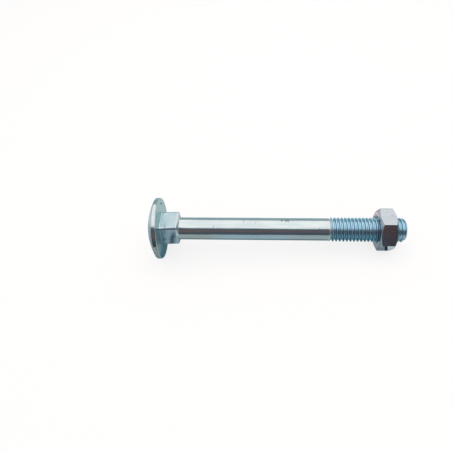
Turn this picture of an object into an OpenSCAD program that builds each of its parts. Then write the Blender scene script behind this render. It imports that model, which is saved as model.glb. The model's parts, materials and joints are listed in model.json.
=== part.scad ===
// Carriage bolt, metric 12 x 120, with its hexagon nut run on near the end.
// Two separate pieces: the forged and rolled bolt, and the nut.
// The origin is the centre of the head's underside. The bolt points along +X and
// lies as it comes to rest on a level surface: on the rim of its head and on one
// flat of the nut, so its axis slopes gently down towards the threaded end.

/* [Head] */
// Diameter of the domed head
head_d = 30.6; // [25:0.1:36]
// Height of the head, from its underside to the top of the dome
head_h = 6.4; // [4.6:0.1:9]
// Thickness of the upright band round the rim of the head
rim_h = 2.2; // [1.6:0.1:3]
// Radius that rounds the rim where it meets the underside
rim_round = 0.6; // [0.2:0.05:0.8]
// Radius that rounds the rim where it meets the dome
dome_round = 0.8; // [0.2:0.05:1.2]
// Angle by which the forged head and neck stand off square to the shank
head_lean = 2; // [0:0.5:3]
// Direction of the line that they lean about, as a turn from straight down
head_lean_turn = 223; // [0:1:360]

/* [Square neck] */
// Width of the square neck across its flats
neck_w = 12.1; // [11.5:0.1:14]
// Length of the square neck, from the head's underside to the end of its taper
neck_l = 9; // [5:0.1:14]
// Radius that rounds the four long corners of the neck
neck_corner_r = 1.4; // [0.5:0.05:3]
// Length over which the end of the neck tapers down to the shank
neck_taper_l = 0.6; // [0.4:0.1:2.5]
// Turn of the neck about the axis, against the flats of the nut
neck_turn = -1; // [-45:1:45]

/* [Shank] */
// Length of the bolt, from the head's underside to its end
bolt_l = 120; // [80:1:200]
// Diameter of the plain shank
shank_d = 11.1; // [10.4:0.05:11.3]

/* [Thread] */
// Outer diameter of the thread
thread_d = 11.9; // [11.6:0.05:12.4]
// Distance from one turn of the thread to the next
pitch = 1.75; // [1.25:0.05:2.2]
// Radial depth of the thread
thread_depth = 1; // [0.7:0.05:1.2]
// Length of the threaded end, with its run-out
thread_l = 37.3; // [28:0.1:60]
// Length over which the thread dies out into the shank
runout_l = 1.8; // [1:0.1:6]
// Length of the 45 degree chamfer at the end of the bolt
point_l = 1.15; // [0.6:0.05:2]
// Straight facets in one turn of the thread
turn_facets = 32; // [24:4:48]

/* [Nut] */
// Width of the nut across its flats
nut_w = 19; // [17:0.1:24]
// Height of the nut along the bolt
nut_h = 8.1; // [6:0.1:12]
// Length of bolt that shows past the nut
nut_to_end = 5.4; // [2:0.1:20]
// Diameter of the round face left by the chamfer, less than the width across flats by this much
nut_face_less = 1; // [0.2:0.1:2.5]
// Angle of that chamfer, from the nut's face
nut_chamfer_deg = 30; // [15:1:40]
// Radial gap between the nut's bore and the outside of the thread
nut_clearance = 0.1; // [0.05:0.01:0.3]
// Radial width of the countersink at each mouth of the bore
nut_sink = 0.6; // [0.2:0.05:1.2]

/* [Hidden] */
$fn = 96;
eps = 0.01;
steel_colour = [0.72, 0.77, 0.80];
nut_colour = [0.70, 0.73, 0.77];

head_r = head_d / 2;
shank_r = shank_d / 2;
thread_r = thread_d / 2;
root_r = thread_r - thread_depth;
neck_half = neck_w / 2;
// Distance from the axis to the outermost point of a rounded neck corner
neck_corner_reach = (neck_half - neck_corner_r) * sqrt(2) + neck_corner_r;
// Depth by which the neck starts inside the head
neck_sink = rim_h / 2;

// The dome is a cap of a sphere that starts at the top of the rim band
dome_rise = head_h - rim_h;
dome_r = (head_r * head_r + dome_rise * dome_rise) / (2 * dome_rise);
dome_centre = head_h - dome_r;
// Centre of the circle that rounds the rim, touching both the dome and the band
round_x = head_r - dome_round;
round_y = dome_centre + sqrt(pow(dome_r - dome_round, 2) - pow(round_x, 2));
// Point where that circle leaves the dome
leave_x = round_x * dome_r / (dome_r - dome_round);
leave_y = dome_centre + (round_y - dome_centre) * dome_r / (dome_r - dome_round);

nut_far = bolt_l - nut_to_end;
nut_near = nut_far - nut_h;
nut_half = nut_w / 2;
nut_face_r = nut_half - nut_face_less / 2;
nut_bore_r = thread_r + nut_clearance;
nut_corner_r = nut_half / cos(30);
// How far back from the nut's face the chamfer reaches on the middle of a flat
flat_cut = (nut_half - nut_face_r) * tan(nut_chamfer_deg);

thread_start = bolt_l - thread_l;

// Direction about which the head leans, square to the axis, with the bolt upright
lean_axis = [cos(head_lean_turn), sin(head_lean_turn), 0];
// Share of the lean that tips the head's lowest edge towards the thread
lean_down = -sin(head_lean) * lean_axis[1];

// Slope of the bolt's axis when the head's rim and the nut's flat touch one level surface
function seat_slope(tilt) = cos(head_lean) * sin(tilt) - lean_down * cos(tilt);
function head_drop(tilt) = rim_round * (1 - seat_slope(tilt))
    + (head_r - rim_round) * sqrt(1 - pow(seat_slope(tilt), 2));
function tilt_from(tilt) = asin((head_drop(tilt) - nut_half * cos(tilt)) / (nut_far - flat_cut));
function rest_tilt_after(tilt, steps) = steps == 0 ? tilt : rest_tilt_after(tilt_from(tilt), steps - 1);
rest_tilt = rest_tilt_after(0, 8);

// Lays a shape drawn along +Z down along +X, sloping by the rest tilt
module lay_down() {
    rotate([0, 90 + rest_tilt, 0])
        children();
}

// Half section of the head, with its underside on the X axis
module head_section() {
    union() {
        square([head_r - rim_round, rim_h / 2 + eps]);
        translate([head_r - rim_round, rim_round])
            circle(r = rim_round);
        translate([0, rim_round])
            square([head_r, round_y - rim_round]);
        intersection() {
            translate([round_x, round_y])
                circle(r = dome_round);
            translate([round_x, round_y])
                square(dome_round + eps);
        }
        polygon([[0, round_y - eps], [round_x, round_y - eps], [round_x, round_y], [leave_x, leave_y], [0, leave_y]]);
        intersection() {
            translate([0, dome_centre])
                circle(r = dome_r);
            translate([0, leave_y])
                square([leave_x, head_h]);
        }
    }
}

// Tips a shape about the centre of the head's underside
module leaned() {
    rotate(a = head_lean, v = lean_axis)
        children();
}

module head() {
    leaned()
        mirror([0, 0, 1])
            rotate_extrude()
                head_section();
}

// Square with rounded corners
module neck_section() {
    side = neck_w - 2 * neck_corner_r;
    union() {
        square([neck_w, side], center = true);
        square([side, neck_w], center = true);
        for (x = [-1, 1], y = [-1, 1])
            translate([x, y] * side / 2)
                circle(r = neck_corner_r);
    }
}

// The neck stands square on the head until the taper, which is a cone about the shank's axis
module neck() {
    taper_start = neck_l - neck_taper_l;
    offset_at_end = neck_l * sin(head_lean);
    lowest = -neck_sink - neck_corner_reach * sin(head_lean);
    highest = neck_l + neck_corner_reach * sin(head_lean);
    widest = neck_corner_reach + offset_at_end + eps;
    intersection() {
        leaned()
            rotate(neck_turn)
                translate([0, 0, -neck_sink])
                    linear_extrude(highest + neck_sink)
                        neck_section();
        rotate_extrude()
            polygon([[0, lowest], [widest, lowest], [widest, taper_start], [shank_r, neck_l], [0, neck_l]]);
    }
}

// Radius of the thread's section at a share of one pitch: root, flank, crest, flank
section_shares = [0, 0.25, 0.5625, 0.6875];
section_radii = [root_r, root_r, thread_r, thread_r];
corners = len(section_shares);

// The section fades into the shank at its start, and the point cuts it back at its end
function fade(z) = min(1, max(0, (z - thread_start) / runout_l));
function point_limit(z) = thread_r - max(0, z - (bolt_l - point_l));
function ridge_r(z, j) = min(point_limit(z), shank_r + fade(z) * (section_radii[j] - shank_r));
function at(turned, z, r) = [r * cos(turned), r * sin(turned), z];

// One closed surface: a ring at the shank, rows that follow the right-hand helix, a ring at the end
module threaded_end() {
    n = turn_facets;
    first_z = thread_start + eps;
    row_count = n + floor((bolt_l - first_z - pitch * (1 + section_shares[corners - 1]) - eps) / pitch * n);
    ring_r = shank_r - eps;
    tip_r = point_limit(bolt_l);
    first_ring = [for (i = [0:n - 1]) at(360 * i / n, thread_start, ring_r)];
    last_ring = [for (i = [0:n - 1]) at(360 * i / n, bolt_l, tip_r)];
    rows = [for (i = [0:row_count], j = [0:corners - 1])
        let(z = first_z + pitch * (i / n + section_shares[j])) at(360 * i / n, z, ridge_r(z, j))];
    base = 2 * n;
    // Index of a point on row i; the last corner of a row is the first one of the row a turn later
    function p(i, j) = j < corners ? base + i * corners + j : base + (i + n) * corners;
    function s(i) = i % n;
    function e(i) = n + i % n;
    helix_faces = [for (i = [0:row_count - 1], j = [0:corners - 1]) if (j < corners - 1 || i + n < row_count)
        each [[p(i, j), p(i, j + 1), p(i + 1, j)], [p(i + 1, j), p(i, j + 1), p(i + 1, j + 1)]]];
    // The shank's ring to the first turn, whose last gap is a fan over the whole section
    start_faces = [for (i = [0:n - 2]) each [[s(i), p(i, 0), s(i + 1)], [s(i + 1), p(i, 0), p(i + 1, 0)]]];
    start_fan = [p(n - 1, 0), s(n - 1), s(0), for (j = [0:corners]) p(0, j)];
    // The last turn to the end's ring, whose first gap is a fan over the whole section
    turned_back = row_count - n;
    end_faces = [for (i = [turned_back + 1:row_count - 1]) each
        [[p(i, corners - 1), e(i), p(i + 1, corners - 1)], [p(i + 1, corners - 1), e(i), e(i + 1)]]];
    end_fan = [p(turned_back + 1, corners - 1), e(turned_back + 1), e(turned_back),
        for (j = [corners - 1:-1:0]) p(row_count, j), p(turned_back, corners - 1)];
    function fan(loop, flip) = [for (k = [1:len(loop) - 2])
        flip ? [loop[0], loop[k + 1], loop[k]] : [loop[0], loop[k], loop[k + 1]]];
    polyhedron(
        points = concat(first_ring, last_ring, rows),
        faces = concat(
            [[for (i = [0:n - 1]) s(i)]],
            [[for (i = [n - 1:-1:0]) e(i)]],
            helix_faces, start_faces, fan(start_fan, true), end_faces, fan(end_fan, true)
        ),
        convexity = 10
    );
}

// The bolt is one forging: head, neck and shank, with the thread rolled on its end
module bolt() {
    color(steel_colour)
        lay_down()
            union() {
                head();
                neck();
                translate([0, 0, -neck_sink])
                    cylinder(r = shank_r, h = thread_start + neck_sink);
                threaded_end();
            }
}

// Hexagon with both faces chamfered to a circle and a countersunk bore
module nut() {
    chamfer_l = (nut_corner_r + eps - nut_face_r) * tan(nut_chamfer_deg);
    color(nut_colour)
        lay_down()
            translate([0, 0, nut_near])
                difference() {
                    intersection() {
                        rotate(30)
                            cylinder(r = nut_corner_r, h = nut_h, $fn = 6);
                        rotate_extrude()
                            polygon([
                                [0, 0], [nut_face_r, 0], [nut_corner_r + eps, chamfer_l],
                                [nut_corner_r + eps, nut_h - chamfer_l], [nut_face_r, nut_h], [0, nut_h]
                            ]);
                    }
                    translate([0, 0, -eps])
                        cylinder(r = nut_bore_r, h = nut_h + 2 * eps);
                    translate([0, 0, -eps])
                        cylinder(r1 = nut_bore_r + nut_sink, r2 = nut_bore_r - eps, h = nut_sink + eps);
                    translate([0, 0, nut_h - nut_sink])
                        cylinder(r1 = nut_bore_r - eps, r2 = nut_bore_r + nut_sink, h = nut_sink + eps);
                }
}

bolt();
nut();
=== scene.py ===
import json
import math

import bmesh
import bpy
import numpy as np
from mathutils import Matrix, Vector


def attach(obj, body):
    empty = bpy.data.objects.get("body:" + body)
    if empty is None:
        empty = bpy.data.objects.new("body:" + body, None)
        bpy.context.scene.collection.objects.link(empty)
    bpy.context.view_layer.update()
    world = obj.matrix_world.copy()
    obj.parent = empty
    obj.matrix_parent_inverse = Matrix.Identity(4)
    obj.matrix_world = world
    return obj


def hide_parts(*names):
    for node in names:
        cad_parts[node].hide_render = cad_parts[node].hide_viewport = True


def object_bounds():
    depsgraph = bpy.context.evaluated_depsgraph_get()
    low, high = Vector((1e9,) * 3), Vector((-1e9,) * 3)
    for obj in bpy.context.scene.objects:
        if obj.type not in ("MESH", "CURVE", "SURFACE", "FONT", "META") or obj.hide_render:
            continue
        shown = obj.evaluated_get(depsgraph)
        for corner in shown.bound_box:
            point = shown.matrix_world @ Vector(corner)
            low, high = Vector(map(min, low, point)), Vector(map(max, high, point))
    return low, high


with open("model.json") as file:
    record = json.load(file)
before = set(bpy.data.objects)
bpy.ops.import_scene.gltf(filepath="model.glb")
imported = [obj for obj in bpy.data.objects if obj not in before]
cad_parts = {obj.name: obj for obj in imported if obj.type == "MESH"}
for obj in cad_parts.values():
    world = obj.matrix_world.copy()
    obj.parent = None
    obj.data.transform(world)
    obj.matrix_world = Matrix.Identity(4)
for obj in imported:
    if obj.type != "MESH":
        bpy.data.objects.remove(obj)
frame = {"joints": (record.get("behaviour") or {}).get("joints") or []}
cad_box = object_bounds()

MM = 0.001

# Frame of the drawing: +Z along the bolt from the head's underside, +X down, +Y as in the row frame
ALONG = Vector(frame["joints"][0]["axis"]).normalized()
SIDE = Vector((0, 1, 0))
DOWN = SIDE.cross(ALONG).normalized()
DRAWN_TO_ROW = np.array([DOWN, SIDE, ALONG]) * MM
FLOOR_Z = cad_box[0].z

# Head, in millimetres
HEAD_R = 15.3
HEAD_H = 6.38
RIM_H = 2.2
RIM_ROUND = 0.6
DOME_ROUND = 0.8
HEAD_LEAN = math.radians(2)
HEAD_LEAN_TURN = math.radians(223)

# Square neck
NECK_HALF = 6.05
NECK_L = 9.0
NECK_CORNER_R = 1.4
NECK_TAPER_L = 0.6
NECK_TURN = math.radians(-1)
NECK_ROOT_R = 0.2

# Shank and thread
BOLT_L = 120.0
SHANK_R = 5.55
THREAD_R = 5.95
PITCH = 1.75
THREAD_SHIFT = -0.35
THREAD_DEPTH = 1.0
THREAD_START = 82.7
RUNOUT_L = 1.8
POINT_L = 1.15

# Nut
NUT_HALF = 9.5
NUT_NEAR = 106.5
NUT_FAR = 114.6
NUT_FACE_R = 9.0
NUT_CHAMFER = math.radians(30)
NUT_CORNER_ROUND = 0.45
NUT_GAP = 0.1
NUT_SINK = 0.6
NUT_MINOR_R = 5.2

# Camera, measured from the bolt's axis
CAMERA_ALONG = 48.0
CAMERA_DISTANCE = 216.7
CAMERA_RISE = math.radians(47.2)
CAMERA_TURN = -0.04172
CAMERA_DIP = 0.0064
CAMERA_ROLL = -0.0079
CAMERA_FOCAL = 433.6
CAMERA_SHIFT = -0.03
IMAGE_SIDE = 452
SENSOR = 36.0

# Finish and light
EDGE_TINT = (0.42, 0.60, 0.66)
PIT_COLOUR = (0.16, 0.19, 0.21)
# Single pits: down, back and along the bolt, and their radius
PITS = (
    (-5.53, 0.50, 59.8, 0.62), (-5.54, 0.30, 61.7, 0.66), (-5.49, 0.78, 62.7, 0.55),
    (-5.55, 0.00, 62.9, 0.45), (-5.54, -0.20, 41.1, 0.40), (-5.45, -1.02, 47.0, 0.26),
    (-4.28, -3.52, 78.0, 0.34), (-4.68, -2.96, 26.5, 0.34),
)
NUT_PITS = ((-9.5, 0.5, 112.2, 0.35), (-9.5, 2.6, 110.0, 0.25))
SOFTBOX_GLOW = 0.62
FILL_LIGHT = 0.72
FLOOR_LIT = 0.22
# Middle of the stage along the bolt, and how far in front of it the striped card stands
STAGE_MIDDLE = 45
CARD_DISTANCE = 50


def place_camera():
    """Looks down on the bolt's front from above, as the photograph does."""
    up_of_bolt = -DOWN
    out = -SIDE * math.cos(CAMERA_RISE) + up_of_bolt * math.sin(CAMERA_RISE)
    up = up_of_bolt * math.cos(CAMERA_RISE) + SIDE * math.sin(CAMERA_RISE)
    right = ALONG * math.cos(CAMERA_TURN) + out * math.sin(CAMERA_TURN)
    back = out * math.cos(CAMERA_TURN) - ALONG * math.sin(CAMERA_TURN)
    back, up = back - up * CAMERA_DIP, up + back * CAMERA_DIP
    right, up = right - up * CAMERA_ROLL, up + right * CAMERA_ROLL
    right.normalize()
    back.normalize()
    up = back.cross(right)
    data = bpy.data.cameras.new("camera")
    data.sensor_width = SENSOR
    data.lens = CAMERA_FOCAL / IMAGE_SIDE * SENSOR
    data.shift_x = CAMERA_SHIFT
    data.clip_start = 0.01
    camera = bpy.data.objects.new("camera", data)
    bpy.context.scene.collection.objects.link(camera)
    turn = Matrix((right, up, back)).transposed().to_4x4()
    place = ALONG * CAMERA_ALONG * MM + out * CAMERA_DISTANCE * MM
    camera.matrix_world = Matrix.Translation(place) @ turn
    bpy.context.scene.camera = camera


class Skin:
    """One closed surface, collected ring by ring in the drawing's frame."""

    def __init__(self):
        self.points = []
        self.drawn = []
        self.faces = []

    def add(self, points, drawn=None):
        """Adds points and returns their indices. The finish follows the drawn places, if they differ."""
        first = len(self.points)
        self.points.extend(np.asarray(points, float).reshape(-1, 3))
        self.drawn.extend(np.asarray(points if drawn is None else drawn, float).reshape(-1, 3))
        return list(range(first, len(self.points)))

    def join(self, a, b):
        """Joins two rings of indices by quads, without the corners that coincide."""
        n = len(a)
        for j in range(n):
            k = (j + 1) % n
            self.face([a[j], a[k], b[k], b[j]])

    def face(self, loop):
        kept = [v for i, v in enumerate(loop) if v != loop[i - 1]]
        if len(set(kept)) > 2:
            self.faces.append(kept)

    def fan(self, ring, centre):
        """Closes a ring with triangles to one point."""
        for j in range(len(ring)):
            self.face([ring[j], ring[(j + 1) % len(ring)], centre])

    def build(self, name):
        """Makes the mesh object in the row frame and keeps the drawing's coordinates on it."""
        mesh = bpy.data.meshes.new(name)
        mesh.from_pydata((np.array(self.points) @ DRAWN_TO_ROW).tolist(), [], self.faces)
        kept = mesh.attributes.new("drawn", "FLOAT_VECTOR", "POINT")
        kept.data.foreach_set("vector", np.array(self.drawn, np.float32).ravel())
        shape = bmesh.new()
        shape.from_mesh(mesh)
        loose = [v for v in shape.verts if not v.link_faces]
        bmesh.ops.delete(shape, geom=loose, context="VERTS")
        bmesh.ops.recalc_face_normals(shape, faces=shape.faces)
        shape.to_mesh(mesh)
        shape.free()
        mesh.shade_smooth()
        mesh.set_sharp_from_angle(angle=math.radians(34))
        piece = bpy.data.objects.new(name, mesh)
        bpy.context.scene.collection.objects.link(piece)
        return piece


def polar(angles, radii, heights):
    """Points at the angles, radii and heights, which may each be one number or a row of them."""
    radii = np.broadcast_to(radii, angles.shape)
    heights = np.broadcast_to(heights, angles.shape)
    return np.stack([radii * np.cos(angles), radii * np.sin(angles), heights], 1)


def crowded_angles(count, corners, first_corner, crowding):
    """Angles once round, closer together at the corners of a polygon."""
    even = np.arange(count) * 2 * np.pi / count
    return even - crowding * np.sin(corners * (even - first_corner)) / corners


def thread_section(share):
    """Height of the thread, 0 at the root and 1 at the crest, at a share of one pitch from the crest."""
    off = np.abs((share + 0.5) % 1 - 0.5)
    rise = np.clip((0.375 - off) / 0.3125, 0, 1)
    return rise * rise * (3 - 2 * rise) * 0.15 + rise * 0.85


# Places of the thread's rows, in shares of one pitch from the crest
THREAD_SHARES = np.array([
    0.0, 0.045, 0.075, 0.115, 0.17, 0.24, 0.31, 0.36, 0.41,
    0.5, 0.59, 0.64, 0.69, 0.76, 0.83, 0.885, 0.925, 0.955,
])


def add_helix(skin, angles, low_ring, high_ring, low, high, radius_at):
    """A thread's surface between two rings: rows that climb one pitch in each turn.
    Where a row passes below or above the thread it shares the ring's own point."""
    n = len(angles)
    turns = angles / (2 * np.pi)
    first_turn = math.floor(low / PITCH) - 2
    last_turn = math.ceil(high / PITCH) + 1
    rows = []
    for turn in range(first_turn, last_turn):
        for share in THREAD_SHARES:
            heights = PITCH * (turn + share + turns) + THREAD_SHIFT
            inside = (heights > low + 1e-6) & (heights < high - 1e-6)
            fresh = iter(skin.add(polar(angles, radius_at(heights, share), heights)[inside]))
            rows.append([
                next(fresh) if inside[j] else (low_ring[j] if heights[j] <= low + 1e-6 else high_ring[j])
                for j in range(n)
            ])
    per_turn = len(THREAD_SHARES)
    for i in range(len(rows) - 1):
        for j in range(n - 1):
            skin.face([rows[i][j], rows[i][j + 1], rows[i + 1][j + 1], rows[i + 1][j]])
        if i + 1 + per_turn < len(rows):
            near, far = rows[i], rows[i + per_turn]
            near_next, far_next = rows[i + 1], rows[i + 1 + per_turn]
            skin.face([near[n - 1], far[0], far_next[0], near_next[n - 1]])


def arc(centre, radius, start, end, count):
    """Points (across, up) on an arc, angles in degrees from straight across."""
    angles = np.radians(np.linspace(start, end, count))
    return [(centre[0] + radius * math.cos(a), centre[1] + radius * math.sin(a)) for a in angles]


def head_profile():
    """Half section of the head from the top of the dome to the flat underside: (radius, height)."""
    rise = HEAD_H - RIM_H
    dome_r = (HEAD_R ** 2 + rise ** 2) / (2 * rise)
    dome_centre = HEAD_H - dome_r
    round_x = HEAD_R - DOME_ROUND
    round_y = dome_centre + math.sqrt((dome_r - DOME_ROUND) ** 2 - round_x ** 2)
    leave = math.degrees(math.atan2(round_y - dome_centre, round_x))
    dome = arc((0, dome_centre), dome_r, 89.2, leave + 0.6, 30)
    top_round = arc((round_x, round_y), DOME_ROUND, leave, 0, 8)
    band = [(HEAD_R, round_y + (RIM_ROUND - round_y) * t) for t in (0.15, 0.5, 0.85)]
    low_round = arc((HEAD_R - RIM_ROUND, RIM_ROUND), RIM_ROUND, 0, -90, 7)
    return dome + top_round + band + low_round


def neck_outline(angles, spread):
    """Distance from the axis to the rounded square, grown all round by the spread."""
    off = np.abs((angles - NECK_TURN) % (np.pi / 2) - np.pi / 4)
    half = NECK_HALF + spread
    corner_r = NECK_CORNER_R + spread
    centre = (half - corner_r) * math.sqrt(2)
    flat = half / np.cos(np.pi / 4 - off)
    touch = math.atan2(corner_r * math.sin(math.pi / 4), centre + corner_r * math.cos(math.pi / 4))
    inside = np.clip(corner_r ** 2 - (centre * np.sin(off)) ** 2, 0, None)
    rounded = centre * np.cos(off) + np.sqrt(inside)
    return np.where(off < touch, rounded, flat)


def leaned(points):
    """Tips points with the head and neck, about the centre of the head's underside."""
    axis = (math.cos(HEAD_LEAN_TURN), math.sin(HEAD_LEAN_TURN), 0)
    turn = np.array(Matrix.Rotation(HEAD_LEAN, 3, axis))
    return points @ turn.T


def add_leaned(skin, points):
    return skin.add(leaned(points), points)


def make_bolt():
    skin = Skin()
    angles = crowded_angles(144, 4, NECK_TURN + math.pi / 4, 0.5)
    top = skin.add(leaned(np.array([[0, 0, -HEAD_H]])))[0]
    ring = None
    for radius, height in head_profile():
        fresh = add_leaned(skin, polar(angles, radius, -height))
        if ring is None:
            skin.fan(fresh, top)
        else:
            skin.join(ring, fresh)
        ring = fresh

    # Flat underside, from the round rim to the square root of the neck
    root = neck_outline(angles, NECK_ROOT_R)
    for share in (0.04, 0.2, 0.4, 0.6, 0.8, 0.95, 1.0):
        radii = (HEAD_R - RIM_ROUND) * (1 - share) + root * share
        fresh = add_leaned(skin, polar(angles, radii, 0))
        skin.join(ring, fresh)
        ring = fresh
    for turned in (22.5, 45, 67.5, 90):
        spread = NECK_ROOT_R * (1 - math.sin(math.radians(turned)))
        height = NECK_ROOT_R * (1 - math.cos(math.radians(turned)))
        fresh = add_leaned(skin, polar(angles, neck_outline(angles, spread), height))
        skin.join(ring, fresh)
        ring = fresh

    # Neck, whose end is cut by a cone about the shank's axis
    taper_start = NECK_L - NECK_TAPER_L
    widest = neck_outline(angles, 0).max() + NECK_L * math.sin(HEAD_LEAN)
    square_heights = np.linspace(NECK_ROOT_R + 0.3, taper_start - 0.3, 12)
    taper_heights = np.linspace(taper_start - 0.1, NECK_L - 0.03, 14)
    for height in np.concatenate([square_heights, taper_heights]):
        square = polar(angles, neck_outline(angles, 0), height)
        points = leaned(square)
        reach = np.hypot(points[:, 0], points[:, 1])
        cone = widest + (SHANK_R - widest) * (points[:, 2] - taper_start) / NECK_TAPER_L
        allowed = np.minimum(reach, np.maximum(cone, SHANK_R))
        points[:, :2] *= (allowed / reach)[:, None]
        fresh = skin.add(points, square)
        skin.join(ring, fresh)
        ring = fresh

    # Shank
    thread_low = THREAD_START - PITCH
    for height in np.linspace(NECK_L + 0.35, thread_low, 40):
        fresh = skin.add(polar(angles, SHANK_R, height))
        skin.join(ring, fresh)
        ring = fresh

    # Thread, which fades in from the shank and is cut back at the point
    def thread_radius(heights, share):
        fade = np.clip((heights - THREAD_START) / RUNOUT_L, 0, 1)
        full = THREAD_R - THREAD_DEPTH * (1 - thread_section(share))
        limit = THREAD_R - np.clip(heights - (BOLT_L - POINT_L), 0, None)
        return np.minimum(SHANK_R + fade * (full - SHANK_R), limit)

    tip_r = THREAD_R - POINT_L
    end_ring = skin.add(polar(angles, tip_r, BOLT_L))
    add_helix(skin, angles, ring, end_ring, thread_low, BOLT_L, thread_radius)
    ring = end_ring
    for radius in (tip_r - 0.1, tip_r * 0.7, tip_r * 0.35):
        fresh = skin.add(polar(angles, radius, BOLT_L))
        skin.join(ring, fresh)
        ring = fresh
    skin.fan(ring, skin.add([[0, 0, BOLT_L]])[0])
    return skin.build("carriage_bolt")


def hexagon(angles):
    """Distance from the axis to the nut's side, with slightly rounded corners."""
    off = np.abs(angles % (math.pi / 3) - math.pi / 6)
    flat = NUT_HALF / np.cos(math.pi / 6 - off)
    centre = (NUT_HALF - NUT_CORNER_ROUND) / math.cos(math.pi / 6)
    touch = math.atan2(NUT_CORNER_ROUND * 0.5, centre + NUT_CORNER_ROUND * math.cos(math.pi / 6))
    inside = np.clip(NUT_CORNER_ROUND ** 2 - (centre * np.sin(off)) ** 2, 0, None)
    return np.where(off < touch, centre * np.cos(off) + np.sqrt(inside), flat)


def make_nut():
    skin = Skin()
    angles = crowded_angles(144, 6, math.pi / 6, 0.75)
    side = hexagon(angles)
    slope = math.tan(NUT_CHAMFER)
    mouth_r = THREAD_R + NUT_GAP + NUT_SINK

    def cone(radii):
        return (radii - NUT_FACE_R) * slope

    # From the bore's mouth over the face and its chamfer to the middle of the side: (radius, depth)
    outer = NUT_FACE_R + 0.06
    inner_side = side - 0.05
    half_way = [
        (mouth_r, 0), (mouth_r + 0.05, 0), ((mouth_r + NUT_FACE_R) / 2, 0), (NUT_FACE_R - 0.15, 0),
        (NUT_FACE_R - 0.04, 0.012), (outer, cone(outer)),
        ((outer + inner_side) / 2, cone((outer + inner_side) / 2)), (inner_side, cone(inner_side)),
        (side - 0.006, cone(side) + 0.02), (side, cone(side) + 0.1), (side, cone(side) + 0.35),
    ]
    middle = (NUT_NEAR + NUT_FAR) / 2
    rings = [polar(angles, radii, NUT_NEAR + depth) for radii, depth in half_way]
    rings += [polar(angles, side, middle + shift) for shift in (-1.8, 0, 1.8)]
    rings += [polar(angles, radii, NUT_FAR - depth) for radii, depth in reversed(half_way)]
    loops = [skin.add(points) for points in rings]
    for a, b in zip(loops, loops[1:]):
        skin.join(a, b)

    # Internal thread, in step with the bolt's, countersunk at both mouths
    def bore_radius(heights, share):
        full = np.maximum(THREAD_R - THREAD_DEPTH * (1 - thread_section(share)) + NUT_GAP, NUT_MINOR_R)
        from_mouth = np.minimum(heights - NUT_NEAR, NUT_FAR - heights)
        return np.maximum(full, mouth_r - from_mouth)

    add_helix(skin, angles, loops[0], loops[-1], NUT_NEAR, NUT_FAR, bore_radius)
    return skin.build("hex_nut")


class Nodes:
    """Short calls for building a material's node tree."""

    def __init__(self, name):
        self.material = bpy.data.materials.new(name)
        self.material.use_nodes = True
        self.tree = self.material.node_tree
        self.shader = self.tree.nodes["Principled BSDF"]

    def link(self, source, target):
        self.tree.links.new(source, target)

    def new(self, kind, **values):
        node = self.tree.nodes.new(kind)
        for key, value in values.items():
            setattr(node, key, value)
        return node

    def drawn(self, scale):
        """The drawing's coordinates in millimetres, stretched by the scale."""
        source = self.new("ShaderNodeAttribute", attribute_name="drawn")
        stretch = self.new("ShaderNodeVectorMath", operation="MULTIPLY")
        stretch.inputs[1].default_value = scale
        self.link(source.outputs["Vector"], stretch.inputs[0])
        return stretch.outputs["Vector"]

    def noise(self, scale, detail=3.0, roughness=0.5):
        node = self.new("ShaderNodeTexNoise")
        node.inputs["Scale"].default_value = 1.0
        node.inputs["Detail"].default_value = detail
        node.inputs["Roughness"].default_value = roughness
        self.link(self.drawn(scale), node.inputs["Vector"])
        return node.outputs["Fac"]

    def ramp(self, factor, low, high, from_value=0.0, to_value=1.0):
        node = self.new("ShaderNodeMapRange")
        node.interpolation_type = "SMOOTHSTEP"
        node.inputs["From Min"].default_value = low
        node.inputs["From Max"].default_value = high
        node.inputs["To Min"].default_value = from_value
        node.inputs["To Max"].default_value = to_value
        self.link(factor, node.inputs["Value"])
        return node.outputs["Result"]

    def mix(self, factor, a, b):
        """Mixes two colours, each a tuple or a socket."""
        node = self.new("ShaderNodeMix", data_type="RGBA")
        self.link(factor, node.inputs["Factor"])
        for value, socket in ((a, node.inputs["A"]), (b, node.inputs["B"])):
            if isinstance(value, tuple):
                socket.default_value = (*value, 1)
            else:
                self.link(value, socket)
        return node.outputs["Result"]

    def axes(self):
        """The drawing's coordinates: down, back and along the bolt, in millimetres."""
        split = self.new("ShaderNodeSeparateXYZ")
        self.link(self.drawn((1, 1, 1)), split.inputs[0])
        return split.outputs[0], split.outputs[1], split.outputs[2]

    def times(self, a, b):
        node = self.new("ShaderNodeMath", operation="MULTIPLY")
        self.link(a, node.inputs[0])
        self.link(b, node.inputs[1])
        return node.outputs["Value"]

    def both(self, a, b):
        """Where both masks hold."""
        return self.times(a, b)

    def larger(self, a, b):
        node = self.new("ShaderNodeMath", operation="MAXIMUM")
        self.link(a, node.inputs[0])
        self.link(b, node.inputs[1])
        return node.outputs["Value"]

    def spot(self, centre, radius):
        """A soft round mask about a point of the drawing."""
        far = self.new("ShaderNodeVectorMath", operation="DISTANCE")
        self.link(self.drawn((1, 1, 1)), far.inputs[0])
        far.inputs[1].default_value = centre
        return self.ramp(far.outputs["Value"], radius * 0.6, radius, 1, 0)

    def blend(self, factor, a, value):
        """a, going over to the value as the factor rises."""
        node = self.new("ShaderNodeMix", data_type="FLOAT")
        self.link(factor, node.inputs["Factor"])
        self.link(a, node.inputs["A"])
        node.inputs["B"].default_value = value
        return node.outputs["Result"]

    def add(self, a, b, times):
        """a + b * times"""
        node = self.new("ShaderNodeMath", operation="MULTIPLY_ADD")
        self.link(b, node.inputs[0])
        node.inputs[1].default_value = times
        self.link(a, node.inputs[2])
        return node.outputs["Value"]


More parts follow.
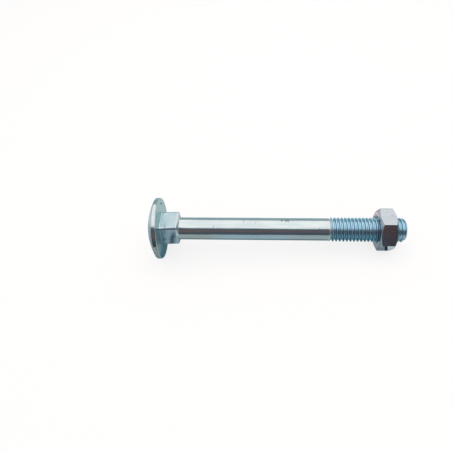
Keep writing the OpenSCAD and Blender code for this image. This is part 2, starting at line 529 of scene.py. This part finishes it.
def plated(name, pale, deep, edge_tint, rough, speckle):
    """Zinc plate on steel: cloudy, faintly streaked along the bolt, pitted here and there.
    Returns the nodes with the colour, roughness and height that the zones may still change."""
    n = Nodes(name)
    clouds = n.noise((0.16, 0.16, 0.07), 4)
    streaks = n.noise((2.2, 2.2, 0.06), 4, 0.6)
    grain = n.noise((4.5, 4.5, 4.5), 3)
    pits = n.noise((1.1, 1.1, 1.1), 5, 0.7)
    n.colour = n.mix(n.ramp(clouds, 0.35, 0.65), pale, deep)
    n.colour = n.mix(n.ramp(streaks, 0.5, 0.85, 0, 0.35), n.colour, deep)
    n.colour = n.mix(n.ramp(grain, 0.5, 0.8, 0, speckle), n.colour, PIT_COLOUR)
    n.pits = n.ramp(pits, 0.70, 0.76)
    n.roughness = n.ramp(n.add(grain, streaks, 0.7), 0.55, 1.15, rough[0], rough[1])
    n.height = n.add(n.ramp(streaks, 0.2, 0.8), n.ramp(clouds, 0.2, 0.8), 2.0)
    n.height = n.add(n.height, grain, 8 * speckle)
    n.edge = edge_tint
    n.shader.inputs["Metallic"].default_value = 1.0
    return n


def finish_plated(n):
    """Adds the pits and joins everything to the shader."""
    n.link(n.mix(n.pits, n.colour, PIT_COLOUR), n.shader.inputs["Base Color"])
    n.edge = n.mix(n.pits, n.edge, PIT_COLOUR)
    n.link(n.roughness, n.shader.inputs["Roughness"])
    n.link(n.edge, n.shader.inputs["Specular Tint"])
    bump = n.new("ShaderNodeBump")
    bump.inputs["Strength"].default_value = 0.35
    bump.inputs["Distance"].default_value = 0.02 * MM
    n.link(n.add(n.height, n.pits, -1.0), bump.inputs["Height"])
    n.link(bump.outputs["Normal"], n.shader.inputs["Normal"])
    return n.material


def bolt_material():
    n = plated("zinc_bolt", (0.48, 0.55, 0.57), (0.41, 0.50, 0.53), EDGE_TINT, (0.08, 0.17), 0.1)
    n.down, n.back, n.along = n.axes()
    n.uneven = n.noise((0.5, 0.5, 0.5), 3)
    tone_thread(n)
    tone_neck(n)
    tone_underside(n)
    tone_dome_and_rim(n)
    tone_shank(n)
    neck_reflection_shade_grime_and_dent(n)
    for pit in PITS:
        n.pits = n.larger(n.pits, n.spot(pit[:3], pit[3]))
    return finish_plated(n)


def tone_thread(n):
    """The thread was rolled into the rod and took a deeper tone. Its roots are painted shade and its
    crests painted highlights; its lower half is painted shade, but past the nut it is painted paler.
    """
    threaded = n.ramp(n.along, THREAD_START + 0.9, THREAD_START + 1.3)
    squares = n.add(n.times(n.down, n.down), n.times(n.back, n.back), 1.0)
    # Painted shade in the thread's roots, painted highlight along its crests
    tone = n.mix(n.ramp(squares, 5.1 ** 2, 5.7 ** 2), (0.33, 0.53, 0.64), (0.38, 0.59, 0.71))
    tone = n.mix(n.ramp(squares, 5.89 ** 2, 5.94 ** 2), tone, (0.60, 0.77, 0.84))
    # Painted shade: the thread's lower half is darker
    below = n.ramp(n.down, -2.8, -1.2)
    tone = n.mix(below, tone, (0.23, 0.42, 0.52))
    # Painted light: past the nut the thread's lower half is paler instead
    past_nut = n.ramp(n.along, NUT_FAR, NUT_FAR + 0.5)
    tone = n.mix(n.both(below, past_nut), tone, (0.50, 0.66, 0.74))
    n.colour = n.mix(threaded, n.colour, tone)
    n.edge = n.mix(threaded, n.edge, (0.28, 0.48, 0.58))
    n.roughness = n.blend(threaded, n.roughness, 0.30)
    # A dull collar ends the shank
    collar = n.ramp(n.along, THREAD_START + 1.1, THREAD_START + 1.6, 1, 0)
    collar = n.both(collar, n.ramp(n.along, THREAD_START, THREAD_START + 0.2))
    n.colour = n.mix(collar, n.colour, (0.53, 0.60, 0.61))
    n.edge = n.mix(collar, n.edge, (0.50, 0.58, 0.60))
    n.roughness = n.blend(collar, n.roughness, 0.42)


def tone_neck(n):
    """The neck and the head's underside were forged and are duller; the neck's top face next to the head
    and the top half of the taper carry painted highlights.
    """
    n.forged = n.ramp(n.along, NECK_L - 1.3, NECK_L - 0.9, 1, 0)
    n.forged = n.both(n.ramp(n.along, -0.10, -0.02), n.forged)
    blotched = n.ramp(n.noise((0.45, 0.45, 0.45), 4, 0.6), 0.46, 0.62)
    dull = n.mix(blotched, (0.375, 0.485, 0.535), (0.33, 0.445, 0.51))
    n.colour = n.mix(n.forged, n.colour, dull)
    # Painted highlight: the neck's top face next to the head is paler
    painted_highlight_top = n.both(n.forged, n.ramp(n.down, -5.8, -5.4, 1, 0))
    painted_highlight_top = n.both(painted_highlight_top, n.ramp(n.along, 0.5, 4.0, 1, 0))
    n.colour = n.mix(painted_highlight_top, n.colour, (0.55, 0.69, 0.76))
    n.roughness = n.blend(n.forged, n.roughness, 0.34)
    # Painted highlight on the taper's top half, palest at the top
    taper = n.ramp(n.along, NECK_L, NECK_L + 0.3, 1, 0)
    taper = n.both(n.ramp(n.along, NECK_L - 1.1, NECK_L - 0.9), taper)
    taper = n.both(taper, n.ramp(n.down, -1.4, -0.2, 1, 0))
    taper_highlight = n.mix(n.ramp(n.down, -5.2, -3.6), (0.51, 0.59, 0.63), (0.84, 0.92, 0.95))
    n.colour = n.mix(taper, n.colour, taper_highlight)
    n.edge = n.mix(taper, n.edge, taper_highlight)
    n.roughness = n.blend(taper, n.roughness, 0.5)


def tone_underside(n):
    """The underside is patchy and bluer, with painted shade making it darker below, and one scar above.
    """
    under = n.both(n.ramp(n.along, -0.10, -0.02), n.ramp(n.along, 0.01, 0.04, 1, 0))
    patches = n.ramp(n.uneven, 0.42, 0.6)
    patchy = n.mix(patches, (0.46, 0.61, 0.66), (0.54, 0.60, 0.56))
    patchy_edge = n.mix(patches, (0.51, 0.70, 0.76), (0.54, 0.60, 0.56))
    n.colour = n.mix(under, n.colour, patchy)
    n.edge = n.mix(under, n.edge, patchy_edge)
    # Painted shade: the underside is darker towards the bottom
    low = n.both(under, n.ramp(n.add(n.down, n.uneven, 6.0), 4.0, 10.5))
    n.colour = n.mix(low, n.colour, (0.26, 0.38, 0.43))
    n.edge = n.mix(low, n.edge, (0.31, 0.48, 0.55))
    # The scar's sides run along two lines that cross each other
    upwards = n.add(n.down, n.back, -1.08)
    outwards = n.add(n.down, n.back, 0.925)
    scar = n.both(n.ramp(upwards, -18.8, -18.3), n.ramp(upwards, -18.0, -17.5, 1, 0))
    ends = n.both(n.ramp(outwards, -5.5, -4.0), n.ramp(outwards, -0.5, 1.5, 1, 0))
    n.pits = n.larger(n.pits, n.both(under, n.both(scar, ends)))


def tone_dome_and_rim(n):
    """The dome is paler and cloudy, the rim speckled and its lower side mottled."""
    dome = n.ramp(n.along, -2.6, -2.2, 1, 0)
    cloudy = n.ramp(n.noise((0.13, 0.13, 0.13), 3, 0.45), 0.35, 0.70)
    n.colour = n.mix(dome, n.colour, n.mix(cloudy, (0.62, 0.70, 0.73), (0.49, 0.59, 0.64)))
    n.edge = n.mix(dome, n.edge, (0.70, 0.80, 0.80))
    n.roughness = n.blend(dome, n.roughness, 0.36)
    rim = n.both(n.ramp(n.along, -2.7, -2.3), n.ramp(n.along, -0.25, -0.1, 1, 0))
    spots = n.ramp(n.noise((1.6, 1.6, 1.6), 3), 0.40, 0.60)
    mottled = n.mix(spots, (0.22, 0.23, 0.22), (0.47, 0.49, 0.48))
    lower_rim = n.both(rim, n.ramp(n.add(n.down, n.back, -1.16), 7.0, 12.0))
    n.colour = n.mix(lower_rim, n.colour, mottled)
    specks = n.ramp(n.noise((2.2, 2.2, 2.2), 4, 0.7), 0.50, 0.62, 0, 0.6)
    n.colour = n.mix(n.both(rim, specks), n.colour, (0.27, 0.29, 0.28))


def tone_shank(n):
    """The shank has long faint streaks, and on its lower half a painted reflection tint changes along its
    length.
    """
    shank = n.ramp(n.along, THREAD_START - 0.5, THREAD_START, 1, 0)
    shank = n.both(shank, n.ramp(n.along, NECK_L, NECK_L + 0.5))
    drawn_out = n.ramp(n.noise((1.5, 1.5, 0.035), 4, 0.65), 0.44, 0.66, 0, 0.6)
    n.colour = n.mix(n.both(shank, drawn_out), n.colour, (0.36, 0.44, 0.47))
    # Painted reflection on the lower half: bluer in the middle, faintly olive near the neck and towards
    # the thread
    reflection_tinted_half = n.ramp(n.down, -2.6, -1.0)
    bluer = n.both(n.ramp(n.along, 20, 32), n.ramp(n.along, 58, 66, 1, 0))
    bluer = n.both(n.both(bluer, reflection_tinted_half), n.ramp(n.uneven, 0.38, 0.62, 0.3, 1))
    n.colour = n.mix(bluer, n.colour, (0.40, 0.52, 0.60))
    near_neck = n.both(n.ramp(n.along, 9.5, 11), n.ramp(n.along, 20, 34, 1, 0))
    olive = n.both(n.larger(near_neck, n.ramp(n.along, 52, 76, 0, 0.6)), reflection_tinted_half)
    olive = n.both(olive, n.ramp(n.along, THREAD_START - 0.4, THREAD_START, 1, 0))
    n.colour = n.mix(olive, n.colour, (0.42, 0.455, 0.44))


def neck_reflection_shade_grime_and_dent(n):
    """A painted dark reflection crosses the neck's front; next to the head the neck has mottled grime
    with painted shade, and a dent.
    """
    front = n.ramp(n.back, -NECK_HALF + 0.1, -NECK_HALF + 0.5, 1, 0)
    # Painted reflection: a dark band across the neck's front face
    across = n.add(n.add(n.along, n.uneven, 1.5), n.down, 0.28)
    dark_reflection = n.both(n.ramp(across, 4.4, 6.6), n.ramp(across, 6.8, 9.2, 1, 0))
    dark_reflection = n.both(n.both(front, dark_reflection), n.ramp(n.down, -5.5, 0.0))
    n.colour = n.mix(dark_reflection, n.colour, (0.08, 0.13, 0.18))
    # Mottled grime and painted shade where the neck meets the head, fainter on the underside
    dirt_and_shade = n.both(n.both(front, n.forged), n.ramp(n.along, 1.0, 4.5, 1, 0))
    dirt_and_shade = n.both(dirt_and_shade, n.ramp(n.along, 0.02, 0.3, 0.3, 1))
    dirt_and_shade = n.both(dirt_and_shade, n.ramp(n.noise((0.9, 0.9, 0.9), 4, 0.65), 0.46, 0.60, 0, 0.7))
    n.colour = n.mix(dirt_and_shade, n.colour, (0.16, 0.27, 0.35))
    n.height = n.add(n.height, n.spot((-6.3, -4.2, 1.4), 2.0), -14.0)


def nut_material():
    n = plated("zinc_nut", (0.37, 0.43, 0.47), (0.34, 0.40, 0.44), (0.68, 0.66, 0.69), (0.13, 0.24), 0.35)
    down, back, along = n.axes()
    squares = n.add(n.times(down, down), n.times(back, back), 1.0)
    # The near face is paler, pinkish towards its edge
    face = n.ramp(along, NUT_NEAR + 0.005, NUT_NEAR + 0.03, 1, 0)
    toned = n.mix(n.ramp(squares, 6.7 ** 2, 7.3 ** 2), (0.50, 0.64, 0.70), (0.66, 0.62, 0.66))
    n.colour = n.mix(face, n.colour, toned)
    # The lower front side is brownish and speckled: a painted dark reflection with specks
    front = n.ramp(n.add(down, back, math.sqrt(3)), -18.97, -18.93, 1, 0)
    speckled_reflection = n.ramp(n.noise((1.9, 1.9, 1.9), 4, 0.65), 0.44, 0.64)
    n.colour = n.mix(front, n.colour, n.mix(speckled_reflection, (0.25, 0.25, 0.28), (0.44, 0.415, 0.43)))
    n.edge = n.mix(front, n.edge, (0.72, 0.64, 0.66))
    # One lower side has a dark patch and a pale end; the pale end is a painted reflection
    lowest = n.ramp(n.add(down, back, -math.sqrt(3)), 18.2, 18.7)
    slant = n.add(n.add(along, down, -0.25), back, -0.144)
    dark_patch = n.both(lowest, n.both(n.ramp(slant, 109.8, 110.4), n.ramp(slant, 111.1, 111.7, 1, 0)))
    pale = n.both(lowest, n.ramp(slant, 111.1, 111.7))
    n.colour = n.mix(pale, n.colour, (0.90, 0.95, 0.98))
    n.edge = n.mix(pale, n.edge, (0.98, 1.0, 1.0))
    n.colour = n.mix(dark_patch, n.colour, (0.09, 0.10, 0.12))
    n.edge = n.mix(dark_patch, n.edge, (0.16, 0.18, 0.21))
    for pit in NUT_PITS:
        n.pits = n.larger(n.pits, n.spot(pit[:3], pit[3]))
    return finish_plated(n)


def sheet(name, centre, across, up, width, height, material):
    """A flat rectangle in the row frame, in millimetres, that belongs to the stage."""
    centre, across, up = Vector(centre), Vector(across).normalized(), Vector(up).normalized()
    corners = [centre + across * width * a / 2 + up * height * b / 2
               for a, b in ((-1, -1), (1, -1), (1, 1), (-1, 1))]
    mesh = bpy.data.meshes.new(name)
    mesh.from_pydata([c * MM for c in corners], [], [(0, 1, 2, 3)])
    mesh.materials.append(material)
    thing = bpy.data.objects.new(name, mesh)
    bpy.context.scene.collection.objects.link(thing)
    return thing


def floor_material():
    """Pale paper that takes the object's shadow, partly lit by the lamps and partly white by itself."""
    n = Nodes("floor_paper")
    n.shader.inputs["Base Color"].default_value = (FLOOR_LIT, FLOOR_LIT, FLOOR_LIT, 1)
    n.shader.inputs["Roughness"].default_value = 1.0
    n.shader.inputs["Specular IOR Level"].default_value = 0.0
    n.shader.inputs["Emission Color"].default_value = (1, 1, 1, 1)
    n.link(seen_or_mirrored(n.tree, 0.0, 1 - FLOOR_LIT), n.shader.inputs["Emission Strength"])
    return n.material


def seen_or_mirrored(tree, otherwise, shown):
    """The shown value for camera, mirror and glass rays, and the other one for diffuse light."""
    path = tree.nodes.new("ShaderNodeLightPath")
    total = path.outputs["Is Camera Ray"]
    for ray in ("Is Glossy Ray", "Is Transmission Ray"):
        larger = tree.nodes.new("ShaderNodeMath")
        larger.operation = "MAXIMUM"
        tree.links.new(total, larger.inputs[0])
        tree.links.new(path.outputs[ray], larger.inputs[1])
        total = larger.outputs[0]
    value = tree.nodes.new("ShaderNodeMapRange")
    value.inputs["To Min"].default_value = otherwise
    value.inputs["To Max"].default_value = shown
    tree.links.new(total, value.inputs["Value"])
    return value.outputs["Result"]


def reflected_only(thing):
    """The sheet shows in polished metal alone, and neither hides nor shades the object."""
    thing.visible_camera = False
    thing.visible_diffuse = False
    thing.visible_shadow = False
    thing.visible_transmission = False


def card_material(name, stripes, end=None):
    """Glow whose colour changes with height: (height in millimetres, colour), from the lowest up.
    The end is a distance along the bolt and the colour past it."""
    n = Nodes(name)
    place = n.new("ShaderNodeNewGeometry")
    split = n.new("ShaderNodeSeparateXYZ")
    n.link(place.outputs["Position"], split.inputs[0])
    colour = stripes[0][1]
    for height, above in stripes[1:]:
        edge = n.ramp(split.outputs["Z"], (height - 3) * MM, (height + 3) * MM)
        colour = n.mix(edge, colour, above)
    if end:
        colour = n.mix(n.ramp(split.outputs["X"], (end[0] - 4) * MM, (end[0] + 4) * MM), colour, end[1])
    n.shader.inputs["Base Color"].default_value = (0, 0, 0, 1)
    n.shader.inputs["Emission Strength"].default_value = 1.0
    if isinstance(colour, tuple):
        n.shader.inputs["Emission Color"].default_value = (*colour, 1)
    else:
        n.link(colour, n.shader.inputs["Emission Color"])
    return n.material


def make_floor():
    sheet("floor", (STAGE_MIDDLE, 0, FLOOR_Z / MM), (1, 0, 0), (0, 1, 0), 8000, 8000, floor_material())


def make_front_card():
    """A striped card in front of the bolt and below the camera, seen only in the metal."""
    navy = (0.095, 0.125, 0.155)
    brown = (0.215, 0.13, 0.13)
    past_nut = (126, (0.105, 0.085, 0.085))
    low, high, edge = [CARD_DISTANCE * math.tan(math.radians(a)) for a in (10, 30, 48)]
    stripes = [(FLOOR_Z / MM, navy), (low, brown), (high, navy)]
    # Its top edge falls a little towards the nut, and its foot goes below the floor
    top = edge - 1.5
    foot = FLOOR_Z / MM - 40
    card = sheet("front_card", (STAGE_MIDDLE, -CARD_DISTANCE, (top + foot) / 2), (1, 0, -0.07),
                 (0, 0, 1), 900, top - foot, card_material("front_card", stripes, past_nut))
    reflected_only(card)


def make_plain_cards():
    """Grey cards on the floor, darker under the bolt as painted shade, and one far behind it."""
    floor_mm = FLOOR_Z / MM
    under_start, under_end = -8.5, 20
    # The darker card under the bolt is painted shade, seen only in the metal
    strips = (
        ("table_card", (0.60, 0.68, 0.70), -CARD_DISTANCE, under_start),
        ("under_shade_card", (0.38, 0.46, 0.48), under_start, under_end),
    )
    for name, colour, start, end in strips:
        place = (STAGE_MIDDLE, (start + end) / 2, floor_mm + 0.01)
        card = sheet(name, place, (1, 0, 0), (0, 1, 0), 900, end - start,
                     card_material(name, [(floor_mm, colour)]))
        reflected_only(card)
    back = card_material("back_card", [(floor_mm, (0.55, 0.64, 0.65))])
    reflected_only(sheet("back_card", (STAGE_MIDDLE, 700, 230), (1, 0, 0), (0, 0, 1), 3000, 490, back))


def make_softbox():
    """The softbox hangs over the bolt and reaches down behind it."""
    reach = math.radians(44.5)
    lean = math.radians(100.5)
    away = Vector((0, -math.cos(lean), math.sin(lean)))
    depth = 0.45
    light = bpy.data.lights.new("softbox", "AREA")
    light.shape = "RECTANGLE"
    light.size = 0.7
    light.size_y = 2 * depth * math.tan(reach)
    light.energy = SOFTBOX_GLOW * 4 * light.size * light.size_y
    light.color = (1.0, 0.80, 0.72)
    lamp = bpy.data.objects.new("softbox", light)
    bpy.context.scene.collection.objects.link(lamp)
    sideways = Vector((1, 0, 0))
    turn = Matrix((sideways, away.cross(sideways), away)).transposed().to_4x4()
    lamp.matrix_world = Matrix.Translation(Vector((0.08, 0, 0)) + away * depth) @ turn
    lamp.visible_camera = False


def make_world():
    """White behind everything that is looked at or mirrored, and soft fill light for the rest."""
    world = bpy.data.worlds.new("world")
    bpy.context.scene.world = world
    world.use_nodes = True
    tree = world.node_tree
    background = tree.nodes["Background"]
    background.inputs["Color"].default_value = (1, 1, 1, 1)
    tree.links.new(seen_or_mirrored(tree, FILL_LIGHT, 1.0), background.inputs["Strength"])


place_camera()
make_floor()
make_front_card()
make_plain_cards()
make_softbox()
make_world()
bpy.context.scene.view_settings.view_transform = "Standard"

bolt = make_bolt()
bolt.data.materials.append(bolt_material())
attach(bolt, "bolt")
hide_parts("bolt")

nut = make_nut()
nut.data.materials.append(nut_material())
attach(nut, "nut")
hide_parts("nut")
